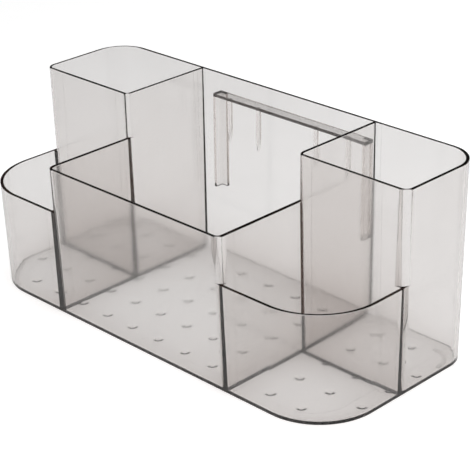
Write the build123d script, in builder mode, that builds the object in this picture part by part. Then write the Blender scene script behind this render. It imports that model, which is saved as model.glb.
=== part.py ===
from build123d import *
import os
from math import cos, hypot, radians, sin, tan

os.makedirs("parts", exist_ok=True)

# A clear plastic box for make-up: a wide centre bin, two tall towers behind and two low cups in front.
# +X runs to the right along the front, +Y from front to back, +Z up. The origin is under the middle.

# Driving dimensions, in millimetres
length = 260.0
depth = 114.0
tower_height = 108.6
bin_height = 83.8
cup_height = 59.1
wall = 1.8
floor_thickness = 1.2
bin_wall_line = 62.3
tower_wall_line = 0.2
front_corner_radius = 36.0
rear_corner_radius = 18.5
bin_corner_radius = 5.0
tower_inner_corner_radius = 4.3
tower_outer_corner_radius = 6.0
corner_radius_step = 3.0
floor_cove_radius = 0.6
base_edge_radius = 0.5
rim_edge_radius = 0.4
outer_draft = 1.2
inner_draft = 0.5

# Shallow round pads under the floor, on a square grid
pad_height = 0.3
pad_pitch = 20.0
pad_radius = 3.0
pad_flat_radius = 1.6
pad_clearance = 1.0

# Curved foot ribs under the four corners, each set in from the rounding of its corner
foot_rib_width = 2.2
front_foot_set_in = 5.0
front_foot_shift = 0.1
front_foot_sweep = 50.0
rear_foot_set_in = 7.3
rear_foot_back_shift = 3.9
rear_foot_sweep = 100.0

# Hanger on the outside of the back wall: it slides down over a flat plate
hanger_drop = 13.3
rail_length = 53.5
rail_inset = 8.3
rail_wall = 1.6
rail_slot = 4.4
rail_lip = 5.6
ledge_thickness = 1.8
grip_rib_from_middle = 21.0
grip_rib_from_rail = 11.2
grip_rib_width = 1.7
grip_rib_depth = 2.0
grip_rib_length = 23.7
grip_rib_point = 8.0

# Bonded seams between the separate pieces, as distances from the walls beside them
bond_gap = 0.05
bin_floor_inset = 7.3
front_corner_reach = 4.6
tower_corner_reach = 8.7
tower_front_reach = 4.9
side_seam_inset = 15.0
front_seam_inset = 10.8
back_seam_inset = 9.2
cup_floor_corner_radius = 21.0

# Heights and places worked out from them
height_tolerance = 0.01
floor_bottom = pad_height
floor_top = floor_bottom + floor_thickness
root = floor_bottom + floor_thickness / 2
clear_top = tower_height + 1.0
outer_lean = tan(radians(outer_draft))
inner_lean = tan(radians(inner_draft))
front_foot_radius = front_corner_radius - front_foot_set_in
front_foot_x = length / 2 - front_corner_radius - front_foot_shift
front_foot_y = -depth / 2 + front_corner_radius + front_foot_shift
rear_foot_radius = rear_corner_radius - rear_foot_set_in
rear_foot_x = length / 2 - rear_corner_radius
rear_foot_y = depth / 2 - rear_corner_radius - rear_foot_back_shift
rail_line = bin_wall_line - rail_inset
ledge_top = tower_height - hanger_drop
rail_top = ledge_top - ledge_thickness - bond_gap
rail_bottom = rail_top - rail_length
grip_rib_x = (grip_rib_from_middle, rail_line - grip_rib_from_rail)
bin_side_seam = bin_wall_line - bin_floor_inset
cup_side_seam = bin_wall_line + front_corner_reach
tower_side_seam = bin_wall_line + tower_corner_reach
outer_seam = length / 2 - side_seam_inset
front_seam = -depth / 2 + front_seam_inset
back_seam = depth / 2 - back_seam_inset
tower_front_seam = tower_wall_line - tower_front_reach
tower_floor_seam = tower_wall_line + tower_front_reach
past_side = length
past_end = depth


def half_length(height):
    """Half the outer length at a height: the outer faces lean in towards the floor."""
    return length / 2 - outer_lean * (tower_height - height)


def half_depth(height):
    """Half the outer depth at a height."""
    return depth / 2 - outer_lean * (tower_height - height)


def half_wall(height):
    """Half the thickness of an inner wall at a height: it thickens towards the floor."""
    return wall / 2 + inner_lean * (tower_height - height)


def rounded_plan(height, box, radii):
    """Flat outline of a box (x0, y0, x1, y1) at a height, with a radius for each corner.

    The radii go round from the front left: front left, front right, rear right, rear left. Zero is square.
    """
    x0, y0, x1, y1 = box
    corners = [(x0, y0), (x1, y0), (x1, y1), (x0, y1)]
    with BuildSketch(Plane.XY.offset(height)) as plan:
        with Locations(((x0 + x1) / 2, (y0 + y1) / 2)):
            Rectangle(x1 - x0, y1 - y0)
        for corner, radius in zip(corners, radii):
            if radius > 0:
                fillet(plan.vertices().sort_by_distance((*corner, height))[0], radius=radius)
    return plan.sketch


def body_plan(height, inset=0.0):
    """Outline of the whole box at a height, moved in by an inset."""
    lean = outer_lean * (tower_height - height)
    front_radius = front_corner_radius - lean - inset
    rear_radius = rear_corner_radius - lean - inset
    x = half_length(height) - inset
    y = half_depth(height) - inset
    return rounded_plan(height, (-x, -y, x, y), (front_radius, front_radius, rear_radius, rear_radius))


def cup_hollow_plan(height):
    """Inside of the left cup."""
    front_radius = front_corner_radius - outer_lean * (tower_height - height) - wall
    box = (
        -half_length(height) + wall,
        -half_depth(height) + wall,
        -bin_wall_line - half_wall(height),
        tower_wall_line - half_wall(height),
    )
    return rounded_plan(height, box, (front_radius, 0, 0, 0))


def bin_plan(height):
    """Outside of the centre bin, with its dividers and its rounded front corners."""
    x = bin_wall_line + half_wall(height)
    y = half_depth(height)
    return rounded_plan(height, (-x, -y, x, y), (bin_corner_radius, bin_corner_radius, 0, 0))


def bin_hollow_plan(height):
    """Inside of the centre bin."""
    x = bin_wall_line - half_wall(height)
    y = half_depth(height) - wall
    radius = bin_corner_radius - corner_radius_step
    return rounded_plan(height, (-x, -y, x, y), (radius, radius, 0, 0))


def tower_plan(height, inner_radius):
    """Outside of the left tower, with a radius for the front corner beside the bin."""
    rear_radius = rear_corner_radius - outer_lean * (tower_height - height)
    box = (
        -half_length(height),
        tower_wall_line - half_wall(height),
        -bin_wall_line + half_wall(height),
        half_depth(height),
    )
    return rounded_plan(height, box, (tower_outer_corner_radius, inner_radius, 0, rear_radius))


def tower_top_plan(height):
    """Outside of the left tower, where it stands free above the bin."""
    return tower_plan(height, tower_inner_corner_radius)


def tower_foot_plan(height):
    """Outside of the left tower, where its front corner runs square into the divider."""
    return tower_plan(height, 0)


def tower_hollow_plan(height):
    """Inside of the left tower."""
    rear_radius = rear_corner_radius - outer_lean * (tower_height - height) - wall
    outer_radius = tower_outer_corner_radius - corner_radius_step
    inner_radius = tower_inner_corner_radius - corner_radius_step
    box = (
        -half_length(height) + wall,
        tower_wall_line + half_wall(height),
        -bin_wall_line - half_wall(height),
        half_depth(height) - wall,
    )
    return rounded_plan(height, box, (outer_radius, inner_radius, 0, rear_radius))


def back_plan(height):
    """The tall back wall between the towers."""
    x = bin_wall_line
    y = half_depth(height)
    return rounded_plan(height, (-x, y - wall, x, y), (0, 0, 0, 0))


def rise(plan, low, high):
    """Solid between a plan's outlines at two heights, with straight leaning sides."""
    with BuildPart() as solid:
        loft([plan(low), plan(high)], ruled=True)
    return solid.part


def edges_at(piece, height):
    """Edges of a piece that lie flat at a height."""
    return piece.edges().filter_by_position(Axis.Z, height - height_tolerance, height + height_tolerance)


def nears_foot_rib(x, y):
    """Whether a pad centred here would touch one of the curved foot ribs, or lie beyond it in the corner."""
    reach = pad_radius + foot_rib_width / 2 + pad_clearance
    in_front = abs(x) > front_foot_x and y < front_foot_y
    behind = abs(x) > rear_foot_x and y > rear_foot_y
    from_front = hypot(abs(x) - front_foot_x, y - front_foot_y)
    from_rear = hypot(abs(x) - rear_foot_x, y - rear_foot_y)
    past_front_rib = in_front and from_front > front_foot_radius - reach
    past_rear_rib = behind and from_rear > rear_foot_radius - reach
    return past_front_rib or past_rear_rib


def pads_each_way(half_flat):
    """Number of pads along a side of the flat underside, one of them in the middle."""
    return 2 * int((half_flat - pad_radius - pad_clearance) / pad_pitch) + 1


# What is hollow: the bin, and a cup and a tower on each side
bin_hollow = rise(bin_hollow_plan, floor_top, clear_top)
cup_hollow = rise(cup_hollow_plan, floor_top, clear_top)
tower_hollow = rise(tower_hollow_plan, floor_top, clear_top)
other_cup_hollow = mirror(cup_hollow, about=Plane.YZ)
other_tower_hollow = mirror(tower_hollow, about=Plane.YZ)

# Lowest step of the box, solid but for the cups, with a floor under everything
with BuildPart() as cup_step:
    add(rise(body_plan, floor_bottom, cup_height))
    fillet(cup_step.edges().group_by(Axis.Z)[0], radius=base_edge_radius)
    add(cup_hollow, mode=Mode.SUBTRACT)
    add(other_cup_hollow, mode=Mode.SUBTRACT)
    fillet(edges_at(cup_step, cup_height), radius=rim_edge_radius)
    add(bin_hollow, mode=Mode.SUBTRACT)
    add(tower_hollow, mode=Mode.SUBTRACT)
    add(other_tower_hollow, mode=Mode.SUBTRACT)

# Shell of the centre bin
with BuildPart() as bin_shell:
    add(rise(bin_plan, root, bin_height))
    add(bin_hollow, mode=Mode.SUBTRACT)
    fillet(edges_at(bin_shell, bin_height), radius=rim_edge_radius)

# Shell of the left tower
with BuildPart() as tower_shell:
    add(rise(tower_top_plan, root, tower_height))
    add(rise(tower_foot_plan, root, bin_height - rim_edge_radius))
    add(tower_hollow, mode=Mode.SUBTRACT)

# Both towers, with the tall back wall that joins them
with BuildPart() as tall_walls:
    add(tower_shell)
    add(mirror(tower_shell.part, about=Plane.YZ, mode=Mode.PRIVATE))
    add(rise(back_plan, root, tower_height))

# The moulded body, before it is divided at its seams
with BuildPart() as body:
    add(cup_step)
    add(bin_shell)
    add(tall_walls)
    fillet(edges_at(body, floor_top), radius=floor_cove_radius)
    fillet(edges_at(body, tower_height), radius=rim_edge_radius)
    columns = pads_each_way(half_length(floor_bottom) - base_edge_radius)
    rows = pads_each_way(half_depth(floor_bottom) - base_edge_radius)
    spots = [
        spot
        for spot in GridLocations(pad_pitch, pad_pitch, columns, rows)
        if not nears_foot_rib(spot.position.X, spot.position.Y)
    ]
    with Locations(*spots):
        Cone(pad_flat_radius, pad_radius, pad_height, align=(Align.CENTER, Align.CENTER, Align.MIN))


def column(x0, x1, y0, y1):
    """Tall block over one area of the plan, drawn in by half a seam on each side."""
    with BuildPart() as block:
        with BuildSketch(Plane.XY.offset(-floor_thickness)):
            with Locations(((x0 + x1) / 2, (y0 + y1) / 2)):
                Rectangle(abs(x1 - x0) - bond_gap, abs(y1 - y0) - bond_gap)
        extrude(amount=clear_top + floor_thickness)
    return block.part


def cup_floor_column(side, growth):
    """Tall block over a cup's flat floor, with the cup's big corner rounded, grown by an amount."""
    outer = side * (outer_seam + growth)
    inner = side * (cup_side_seam - growth)
    box = (min(inner, outer), front_seam - growth, max(inner, outer), tower_front_seam + growth)
    radius = cup_floor_corner_radius + growth
    radii = (radius, 0, 0, 0) if side < 0 else (0, radius, 0, 0)
    with BuildPart() as block:
        add(rounded_plan(-floor_thickness, box, radii))
        extrude(amount=clear_top + floor_thickness)
    return block.part


def save(piece, name):
    """Name a finished piece and write it to its own file."""
    piece.part.label = name
    export_step(piece.part, f"parts/{name}.step")


# Front wall of the bin, with its rounded corners and the ends of the cup walls that run into them
with BuildPart() as front_wall:
    add(body)
    add(column(-cup_side_seam, cup_side_seam, -past_end, front_seam), mode=Mode.INTERSECT)
save(front_wall, "front_wall")

# Flat floor of the bin
with BuildPart() as bin_floor:
    add(body)
    add(column(-bin_side_seam, bin_side_seam, front_seam, back_seam), mode=Mode.INTERSECT)
save(bin_floor, "bin_floor")

# Back wall between the towers, with the rear corners of the bin
with BuildPart() as back_wall:
    add(body)
    add(column(-cup_side_seam, cup_side_seam, back_seam, past_end), mode=Mode.INTERSECT)
save(back_wall, "back_wall")

for side, side_name in ((-1, "left"), (1, "right")):
    # Divider between the bin and a cup
    with BuildPart() as divider:
        add(body)
        area = column(side * bin_side_seam, side * cup_side_seam, front_seam, tower_front_seam)
        add(area, mode=Mode.INTERSECT)
    save(divider, f"{side_name}_divider")

    # Outer wall of a cup, round its big front corner
    with BuildPart() as cup_wall:
        add(body)
        area = column(side * cup_side_seam, side * past_side, -past_end, tower_front_seam)
        add(area, mode=Mode.INTERSECT)
        add(cup_floor_column(side, bond_gap / 2), mode=Mode.SUBTRACT)
    save(cup_wall, f"{side_name}_cup_wall")

    # Flat floor of a cup
    with BuildPart() as cup_floor:
        add(body)
        add(cup_floor_column(side, -bond_gap / 2), mode=Mode.INTERSECT)
    save(cup_floor, f"{side_name}_cup_floor")

    # Inner wall of a tower, with the tower's inner front corner
    with BuildPart() as inner_wall:
        add(body)
        area = column(side * bin_side_seam, side * tower_side_seam, tower_front_seam, back_seam)
        add(area, mode=Mode.INTERSECT)
    save(inner_wall, f"{side_name}_tower_inner_wall")

    # Front wall of a tower
    with BuildPart() as tower_front:
        add(body)
        area = column(side * tower_side_seam, side * outer_seam, tower_front_seam, tower_floor_seam)
        add(area, mode=Mode.INTERSECT)
    save(tower_front, f"{side_name}_tower_front_wall")

    # Flat floor of a tower
    with BuildPart() as tower_floor:
        add(body)
        area = column(side * tower_side_seam, side * outer_seam, tower_floor_seam, back_seam)
        add(area, mode=Mode.INTERSECT)
    save(tower_floor, f"{side_name}_tower_floor")

    # Outer wall of a tower, from its outer front corner round the rear corner to the back wall
    with BuildPart() as outer_wall:
        add(body)
        area = column(side * cup_side_seam, side * past_side, tower_front_seam, past_end)
        add(area, mode=Mode.INTERSECT)
        inner_x = side * (cup_side_seam - bond_gap)
        outer_x = side * (outer_seam + bond_gap)
        add(column(inner_x, outer_x, -past_end, back_seam + bond_gap), mode=Mode.SUBTRACT)
    save(outer_wall, f"{side_name}_tower_outer_wall")


def back_face(height):
    """Distance of the hanger's pieces from the middle, where they meet the back wall's outer face."""
    return half_depth(height) + bond_gap


def rail_plan(side, height):
    """Section of a rail: a leg off the wall, and a lip turned in towards the middle behind the slot."""
    y = back_face(height)
    outer = side * (rail_line + rail_wall / 2)
    inner = side * (rail_line - rail_wall / 2)
    lip_end = outer - side * rail_lip
    with BuildSketch(Plane.XY.offset(height)) as plan:
        with BuildLine():
            Polyline(
                (outer, y),
                (outer, y + rail_slot + rail_wall),
                (lip_end, y + rail_slot + rail_wall),
                (lip_end, y + rail_slot),
                (inner, y + rail_slot),
                (inner, y),
                close=True,
            )
        make_face()
    return plan.sketch


for side, side_name in ((-1, "left"), (1, "right")):
    with BuildPart() as hanger_rail:
        loft([rail_plan(side, rail_bottom), rail_plan(side, rail_top)], ruled=True)
    save(hanger_rail, f"{side_name}_hanger_rail")


def ledge_plan(height):
    """Outline of the ledge that joins the tops of the rails."""
    x = rail_line + rail_wall / 2
    y = back_face(height)
    return rounded_plan(height, (-x, y, x, y + rail_slot + rail_wall), (0, 0, 0, 0))


with BuildPart() as hanger_ledge:
    loft([ledge_plan(ledge_top - ledge_thickness), ledge_plan(ledge_top)], ruled=True)
save(hanger_ledge, "hanger_ledge")

# Pointed grip ribs down the back wall, below the ledge
back_slope = Plane(
    origin=(0, back_face(rail_top), rail_top),
    x_dir=(-1, 0, 0),
    z_dir=(0, cos(radians(outer_draft)), -sin(radians(outer_draft))),
)
grip_rib_places = sorted([-x for x in grip_rib_x] + list(grip_rib_x))
for number, place in enumerate(grip_rib_places, start=1):
    with BuildPart() as grip_rib:
        with BuildSketch(back_slope):
            with BuildLine():
                Polyline(
                    (-place - grip_rib_width / 2, 0),
                    (-place + grip_rib_width / 2, 0),
                    (-place + grip_rib_width / 2, grip_rib_point - grip_rib_length),
                    (-place, -grip_rib_length),
                    (-place - grip_rib_width / 2, grip_rib_point - grip_rib_length),
                    close=True,
                )
            make_face()
        extrude(amount=grip_rib_depth)
    save(grip_rib, f"hanger_rib_{number}")

# Curved foot ribs under the four corners, each swept about the middle of its corner
foot_ribs = (
    ("front_left_foot", -front_foot_x, front_foot_y, front_foot_radius, front_foot_sweep, 225),
    ("front_right_foot", front_foot_x, front_foot_y, front_foot_radius, front_foot_sweep, 315),
    ("rear_left_foot", -rear_foot_x, rear_foot_y, rear_foot_radius, rear_foot_sweep, 135),
    ("rear_right_foot", rear_foot_x, rear_foot_y, rear_foot_radius, rear_foot_sweep, 45),
)
for name, x, y, radius, sweep_angle, middle in foot_ribs:
    with BuildPart() as foot_rib:
        with BuildSketch():
            with BuildLine():
                arc = CenterArc((x, y), radius, middle - sweep_angle / 2, sweep_angle)
                offset(arc, amount=foot_rib_width / 2, side=Side.BOTH)
            make_face()
        extrude(amount=pad_height - bond_gap)
    save(foot_rib, name)
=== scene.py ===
import bpy
import math
from mathutils import Matrix, Vector


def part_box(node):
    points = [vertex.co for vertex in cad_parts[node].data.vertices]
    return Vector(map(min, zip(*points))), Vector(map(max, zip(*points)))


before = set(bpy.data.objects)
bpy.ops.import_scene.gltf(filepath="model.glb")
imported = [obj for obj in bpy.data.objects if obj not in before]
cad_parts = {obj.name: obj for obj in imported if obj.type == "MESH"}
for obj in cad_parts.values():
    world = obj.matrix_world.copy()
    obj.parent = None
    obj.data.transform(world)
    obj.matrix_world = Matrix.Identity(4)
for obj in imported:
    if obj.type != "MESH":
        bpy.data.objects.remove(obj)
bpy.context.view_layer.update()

# The make-up box is one clear moulding, so all its pieces share one clear plastic.
# Lengths are in metres and angles in degrees. The front of the box faces -Y.
scene = bpy.context.scene
scene.view_settings.view_transform = "Standard"

# A ray crosses many walls on its way through the box, and turns back inside them
wall_crossings = 40
mirror_turns = 12
scene.cycles.max_bounces = wall_crossings
scene.cycles.transmission_bounces = wall_crossings
scene.cycles.transparent_max_bounces = wall_crossings
scene.cycles.glossy_bounces = mirror_turns

# Plastic. Every grain here and below is the scale and the detail of a noise.
plastic_ior = 1.5
plastic_tint = (0.87, 0.847, 0.836, 1)
tint_density = 310
haze = (0.05, 0.1)
haze_grain = (60, 3)
clear_tone = (1, 1, 1, 1)
shaded_tone = (0.985, 0.982, 0.978, 1)
tone_grain = (25, 2)
ripple_strength = 0.03
ripple_height = 0.0001
ripple_grain = (20, 1)

# Seams between the pieces, where the plastic runs on without a break. A face belongs to a straight
# seam when it lies within reach of the seam's middle and faces squarely across it. At the rounded
# corner of a cup's floor, it belongs to the seam when it is near the arc and stands upright.
half_seam = 0.000025
seam_reach = 0.00004
squarely = 0.99
cup_floor_corner = 0.021
rounded_seam_reach = 0.00006
upright_tilt = 0.02

# Paper floor, a hair below the feet and far wider than the view
floor_drop = 0.0003
floor_reach = 20
paper_roughness = (0.9, 1.0)
paper_grain = (8, 2)
paper_tone = (0.82, 0.82, 0.82, 1)
fleck_tone = (0.8, 0.8, 0.8, 1)
fleck_grain = (400, 2)

# Glow of the floor, near the box and far from it, to the camera and in the plastic
seen_glow = (0.4, 0.85)
passing_glow = (0.14, 0.65)
glow_distance = (0.45, 2.0)

# Backdrop: its levels in the plastic, the angles between which it fades, and the level for the rest.
# The pale part reaches higher in the direction of backdrop_way, behind the box.
horizon_level = 0.9
overhead_level = 0.15
horizon_angle = 5
overhead_angle = 22
plain_level = 0.2
backdrop_way = (-0.717, 0.697, 0)
backdrop_rise = 0.42

# Lamp
lamp_width = 1.6
lamp_place = (0.3, 0, 1.5)
lamp_power = 28.5

# Camera. Its sensor and focal length are in millimetres.
sensor_width = 36
focal_length = 123.7
nearest_view = 0.01
camera_place = Vector((0.55327, -0.52133, 0.4038))
camera_right = Vector((0.7055, 0.70822, -0.02655))
camera_up = Vector((-0.28532, 0.31811, 0.9041))
camera_ahead = Vector((-0.64874, 0.63027, -0.42649))


def seam_between(low_name, high_name, axis):
    """Middle of the seam between two neighbours along an axis."""
    return (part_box(low_name)[1][axis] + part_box(high_name)[0][axis]) / 2


# Seams across X, the same on both sides of the box, and seams across Y
cup_side_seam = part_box("right_tower_front_wall")[1][0] + half_seam
side_seams = (
    seam_between("bin_floor", "right_divider", 0),
    seam_between("front_wall", "right_cup_wall", 0),
    seam_between("right_tower_inner_wall", "right_tower_front_wall", 0),
    cup_side_seam,
)
cup_front_seam = seam_between("front_wall", "right_divider", 1)
depth_seams = (
    cup_front_seam,
    seam_between("right_divider", "right_tower_inner_wall", 1),
    seam_between("right_tower_front_wall", "right_tower_floor", 1),
    seam_between("right_tower_floor", "back_wall", 1),
)


class Nodes:
    """Short ways to add nodes to one material's or the world's node tree."""

    def __init__(self, owner):
        owner.use_nodes = True
        self.tree = owner.node_tree

    def add(self, kind):
        return self.tree.nodes.new(kind)

    def join(self, source, target):
        self.tree.links.new(source, target)

    def feed(self, slot, value):
        """Join another node's output to a slot, or set the slot to a plain value."""
        if isinstance(value, bpy.types.NodeSocket):
            self.join(value, slot)
        else:
            slot.default_value = value

    def place(self, kind="Object"):
        return self.add("ShaderNodeTexCoord").outputs[kind]

    def split(self, vector):
        node = self.add("ShaderNodeSeparateXYZ")
        self.join(vector, node.inputs[0])
        return node.outputs

    def math(self, operation, *values):
        node = self.add("ShaderNodeMath")
        node.operation = operation
        for slot, value in zip(node.inputs, values):
            self.feed(slot, value)
        return node.outputs[0]

    def vector_math(self, operation, *vectors):
        node = self.add("ShaderNodeVectorMath")
        node.operation = operation
        for slot, vector in zip(node.inputs, vectors):
            self.feed(slot, vector)
        return node.outputs["Value"]

    def highest(self, values):
        top = values[0]
        for value in values[1:]:
            top = self.math("MAXIMUM", top, value)
        return top

    def noise(self, scale, detail):
        node = self.add("ShaderNodeTexNoise")
        node.inputs["Scale"].default_value = scale
        node.inputs["Detail"].default_value = detail
        self.join(self.place(), node.inputs["Vector"])
        return node.outputs[0]

    def ramp(self, value, first, last, start=0, stop=1):
        """Go from first to last while the value goes from start to stop."""
        node = self.add("ShaderNodeMapRange")
        node.inputs["From Min"].default_value = start
        node.inputs["From Max"].default_value = stop
        node.inputs["To Min"].default_value = first
        node.inputs["To Max"].default_value = last
        self.join(value, node.inputs["Value"])
        return node.outputs[0]

    def mix(self, kind, share, off, on):
        node = self.add("ShaderNodeMix")
        node.data_type = kind
        self.join(share, node.inputs["Factor"])
        self.feed(node.inputs["A"], off)
        self.feed(node.inputs["B"], on)
        return node.outputs["Result"]

    def rays(self):
        """The camera's own rays, and those that mirror in the plastic or pass through it."""
        ray = self.add("ShaderNodeLightPath").outputs
        return ray["Is Camera Ray"], self.math("MAXIMUM", ray["Is Glossy Ray"], ray["Is Transmission Ray"])


def seam_faces(nodes):
    """One on the faces where two pieces meet, and zero on every other face."""
    x, y, _ = nodes.split(nodes.place())
    across, along, up = nodes.split(nodes.add("ShaderNodeNewGeometry").outputs["True Normal"])
    side = nodes.math("ABSOLUTE", x)
    found = []
    for seams, position, facing in ((side_seams, side, across), (depth_seams, y, along)):
        on_seam = nodes.highest([nodes.math("COMPARE", position, seam, seam_reach) for seam in seams])
        square = nodes.math("GREATER_THAN", nodes.math("ABSOLUTE", facing), squarely)
        found.append(nodes.math("MULTIPLY", on_seam, square))

    # Each cup's floor has one rounded corner, and its seam runs round that
    outward = nodes.math("SUBTRACT", side, cup_side_seam - cup_floor_corner)
    forward = nodes.math("SUBTRACT", cup_front_seam + cup_floor_corner, y)
    past_side = nodes.math("MAXIMUM", outward, 0)
    past_front = nodes.math("MAXIMUM", forward, 0)
    squares = nodes.math("MULTIPLY_ADD", past_side, past_side, nodes.math("MULTIPLY", past_front, past_front))
    on_arc = nodes.math("COMPARE", nodes.math("SQRT", squares), cup_floor_corner, rounded_seam_reach)
    in_corner = nodes.math("GREATER_THAN", nodes.math("MINIMUM", outward, forward), 0)
    upright = nodes.math("LESS_THAN", nodes.math("ABSOLUTE", up), upright_tilt)
    found.append(nodes.math("MULTIPLY", nodes.math("MULTIPLY", on_arc, in_corner), upright))
    return nodes.highest(found)


def clear_plastic():
    """Clear moulded plastic: faintly warm where it is deep, with the slight waviness of a moulding."""
    material = bpy.data.materials.new("clear_plastic")
    nodes = Nodes(material)
    shader = nodes.tree.nodes["Principled BSDF"]
    output = nodes.tree.nodes["Material Output"]
    shader.inputs["Transmission Weight"].default_value = 1

    # Light isn't bent at a seam, where the index of refraction drops to that of air
    open_face = nodes.math("SUBTRACT", 1, seam_faces(nodes))
    nodes.join(nodes.math("MULTIPLY_ADD", open_face, plastic_ior - 1, 1), shader.inputs["IOR"])

    # Polished, with patches that are a little less so
    patches = nodes.ramp(nodes.noise(*haze_grain), *haze)
    nodes.join(nodes.math("MULTIPLY", patches, open_face), shader.inputs["Roughness"])
    tone = nodes.mix("RGBA", nodes.noise(*tone_grain), clear_tone, shaded_tone)
    nodes.join(tone, shader.inputs["Base Color"])
    ripple = nodes.add("ShaderNodeBump")
    ripple.inputs["Strength"].default_value = ripple_strength
    ripple.inputs["Distance"].default_value = ripple_height
    nodes.join(nodes.noise(*ripple_grain), ripple.inputs["Height"])
    nodes.join(ripple.outputs[0], shader.inputs["Normal"])

    # Light on its way to the floor passes through the surfaces, so that the shadow stays pale
    ray = nodes.add("ShaderNodeLightPath")
    unbent = nodes.add("ShaderNodeBsdfTransparent")
    choose = nodes.add("ShaderNodeMixShader")
    nodes.join(ray.outputs["Is Shadow Ray"], choose.inputs[0])
    nodes.join(shader.outputs[0], choose.inputs[1])
    nodes.join(unbent.outputs[0], choose.inputs[2])
    nodes.join(choose.outputs[0], output.inputs["Surface"])
    depth = nodes.add("ShaderNodeVolumeAbsorption")
    depth.inputs["Color"].default_value = plastic_tint
    depth.inputs["Density"].default_value = tint_density
    nodes.join(depth.outputs[0], output.inputs["Volume"])
    return material


def white_paper():
    """Matt paper with fine flecks, and a glow that takes over where the lamp's light on it fades."""
    material = bpy.data.materials.new("white_paper")
    nodes = Nodes(material)
    shader = nodes.tree.nodes["Principled BSDF"]
    shader.inputs["Specular IOR Level"].default_value = 0
    nodes.join(nodes.ramp(nodes.noise(*paper_grain), *paper_roughness), shader.inputs["Roughness"])
    tone = nodes.mix("RGBA", nodes.noise(*fleck_grain), paper_tone, fleck_tone)
    nodes.join(tone, shader.inputs["Base Color"])
    away = nodes.vector_math("LENGTH", nodes.place())
    seen, passing = nodes.rays()
    in_plastic = nodes.math("MULTIPLY", passing, nodes.ramp(away, *passing_glow, *glow_distance))
    glow = nodes.math("MULTIPLY_ADD", seen, nodes.ramp(away, *seen_glow, *glow_distance), in_plastic)
    nodes.join(glow, shader.inputs["Emission Strength"])
    return material


def studio_backdrop():
    """White to the camera, pale round the horizon and dim overhead in the plastic, and plain for the rest."""
    world = bpy.data.worlds.new("studio")
    nodes = Nodes(world)
    way = nodes.place("Generated")
    height = nodes.split(way)[2]
    behind = nodes.math("MAXIMUM", nodes.vector_math("DOT_PRODUCT", way, backdrop_way), 0)
    lowered = nodes.math("SUBTRACT", height, nodes.math("MULTIPLY", behind, backdrop_rise))
    fade_start, fade_stop = (math.sin(math.radians(angle)) for angle in (horizon_angle, overhead_angle))
    in_plastic = nodes.ramp(lowered, horizon_level, overhead_level, fade_start, fade_stop)
    seen, passing = nodes.rays()
    level = nodes.mix("FLOAT", seen, nodes.mix("FLOAT", passing, plain_level, in_plastic), 1)
    nodes.join(level, nodes.tree.nodes["Background"].inputs["Strength"])
    return world


plastic = clear_plastic()
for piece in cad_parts.values():
    piece.data.materials.clear()
    piece.data.materials.append(plastic)

# Pale floor, which the camera sees as white where no shadow falls
sheet = bpy.data.meshes.new("floor")
sides = ((-1, -1), (1, -1), (1, 1), (-1, 1))
corners = [(x * floor_reach, y * floor_reach, -floor_drop) for x, y in sides]
sheet.from_pydata(corners, [], [(0, 1, 2, 3)])
sheet.materials.append(white_paper())
floor = bpy.data.objects.new("floor", sheet)
scene.collection.objects.link(floor)

scene.world = studio_backdrop()

# One broad soft lamp overhead, which neither shines through the plastic nor mirrors in it
light = bpy.data.lights.new("softbox", "AREA")
light.shape = "DISK"
light.size = lamp_width
light.energy = lamp_power
lamp = bpy.data.objects.new("softbox", light)
lamp.location = lamp_place
lamp.visible_transmission = False
lamp.visible_glossy = False
scene.collection.objects.link(lamp)

# Camera in front, to the right of the box and above it
lens = bpy.data.cameras.new("camera")
lens.sensor_width = sensor_width
lens.lens = focal_length
lens.clip_start = nearest_view
camera = bpy.data.objects.new("camera", lens)
pose = Matrix((camera_right, camera_up, -camera_ahead)).transposed().to_4x4()
pose.translation = camera_place
camera.matrix_world = pose
scene.collection.objects.link(camera)
scene.camera = camera
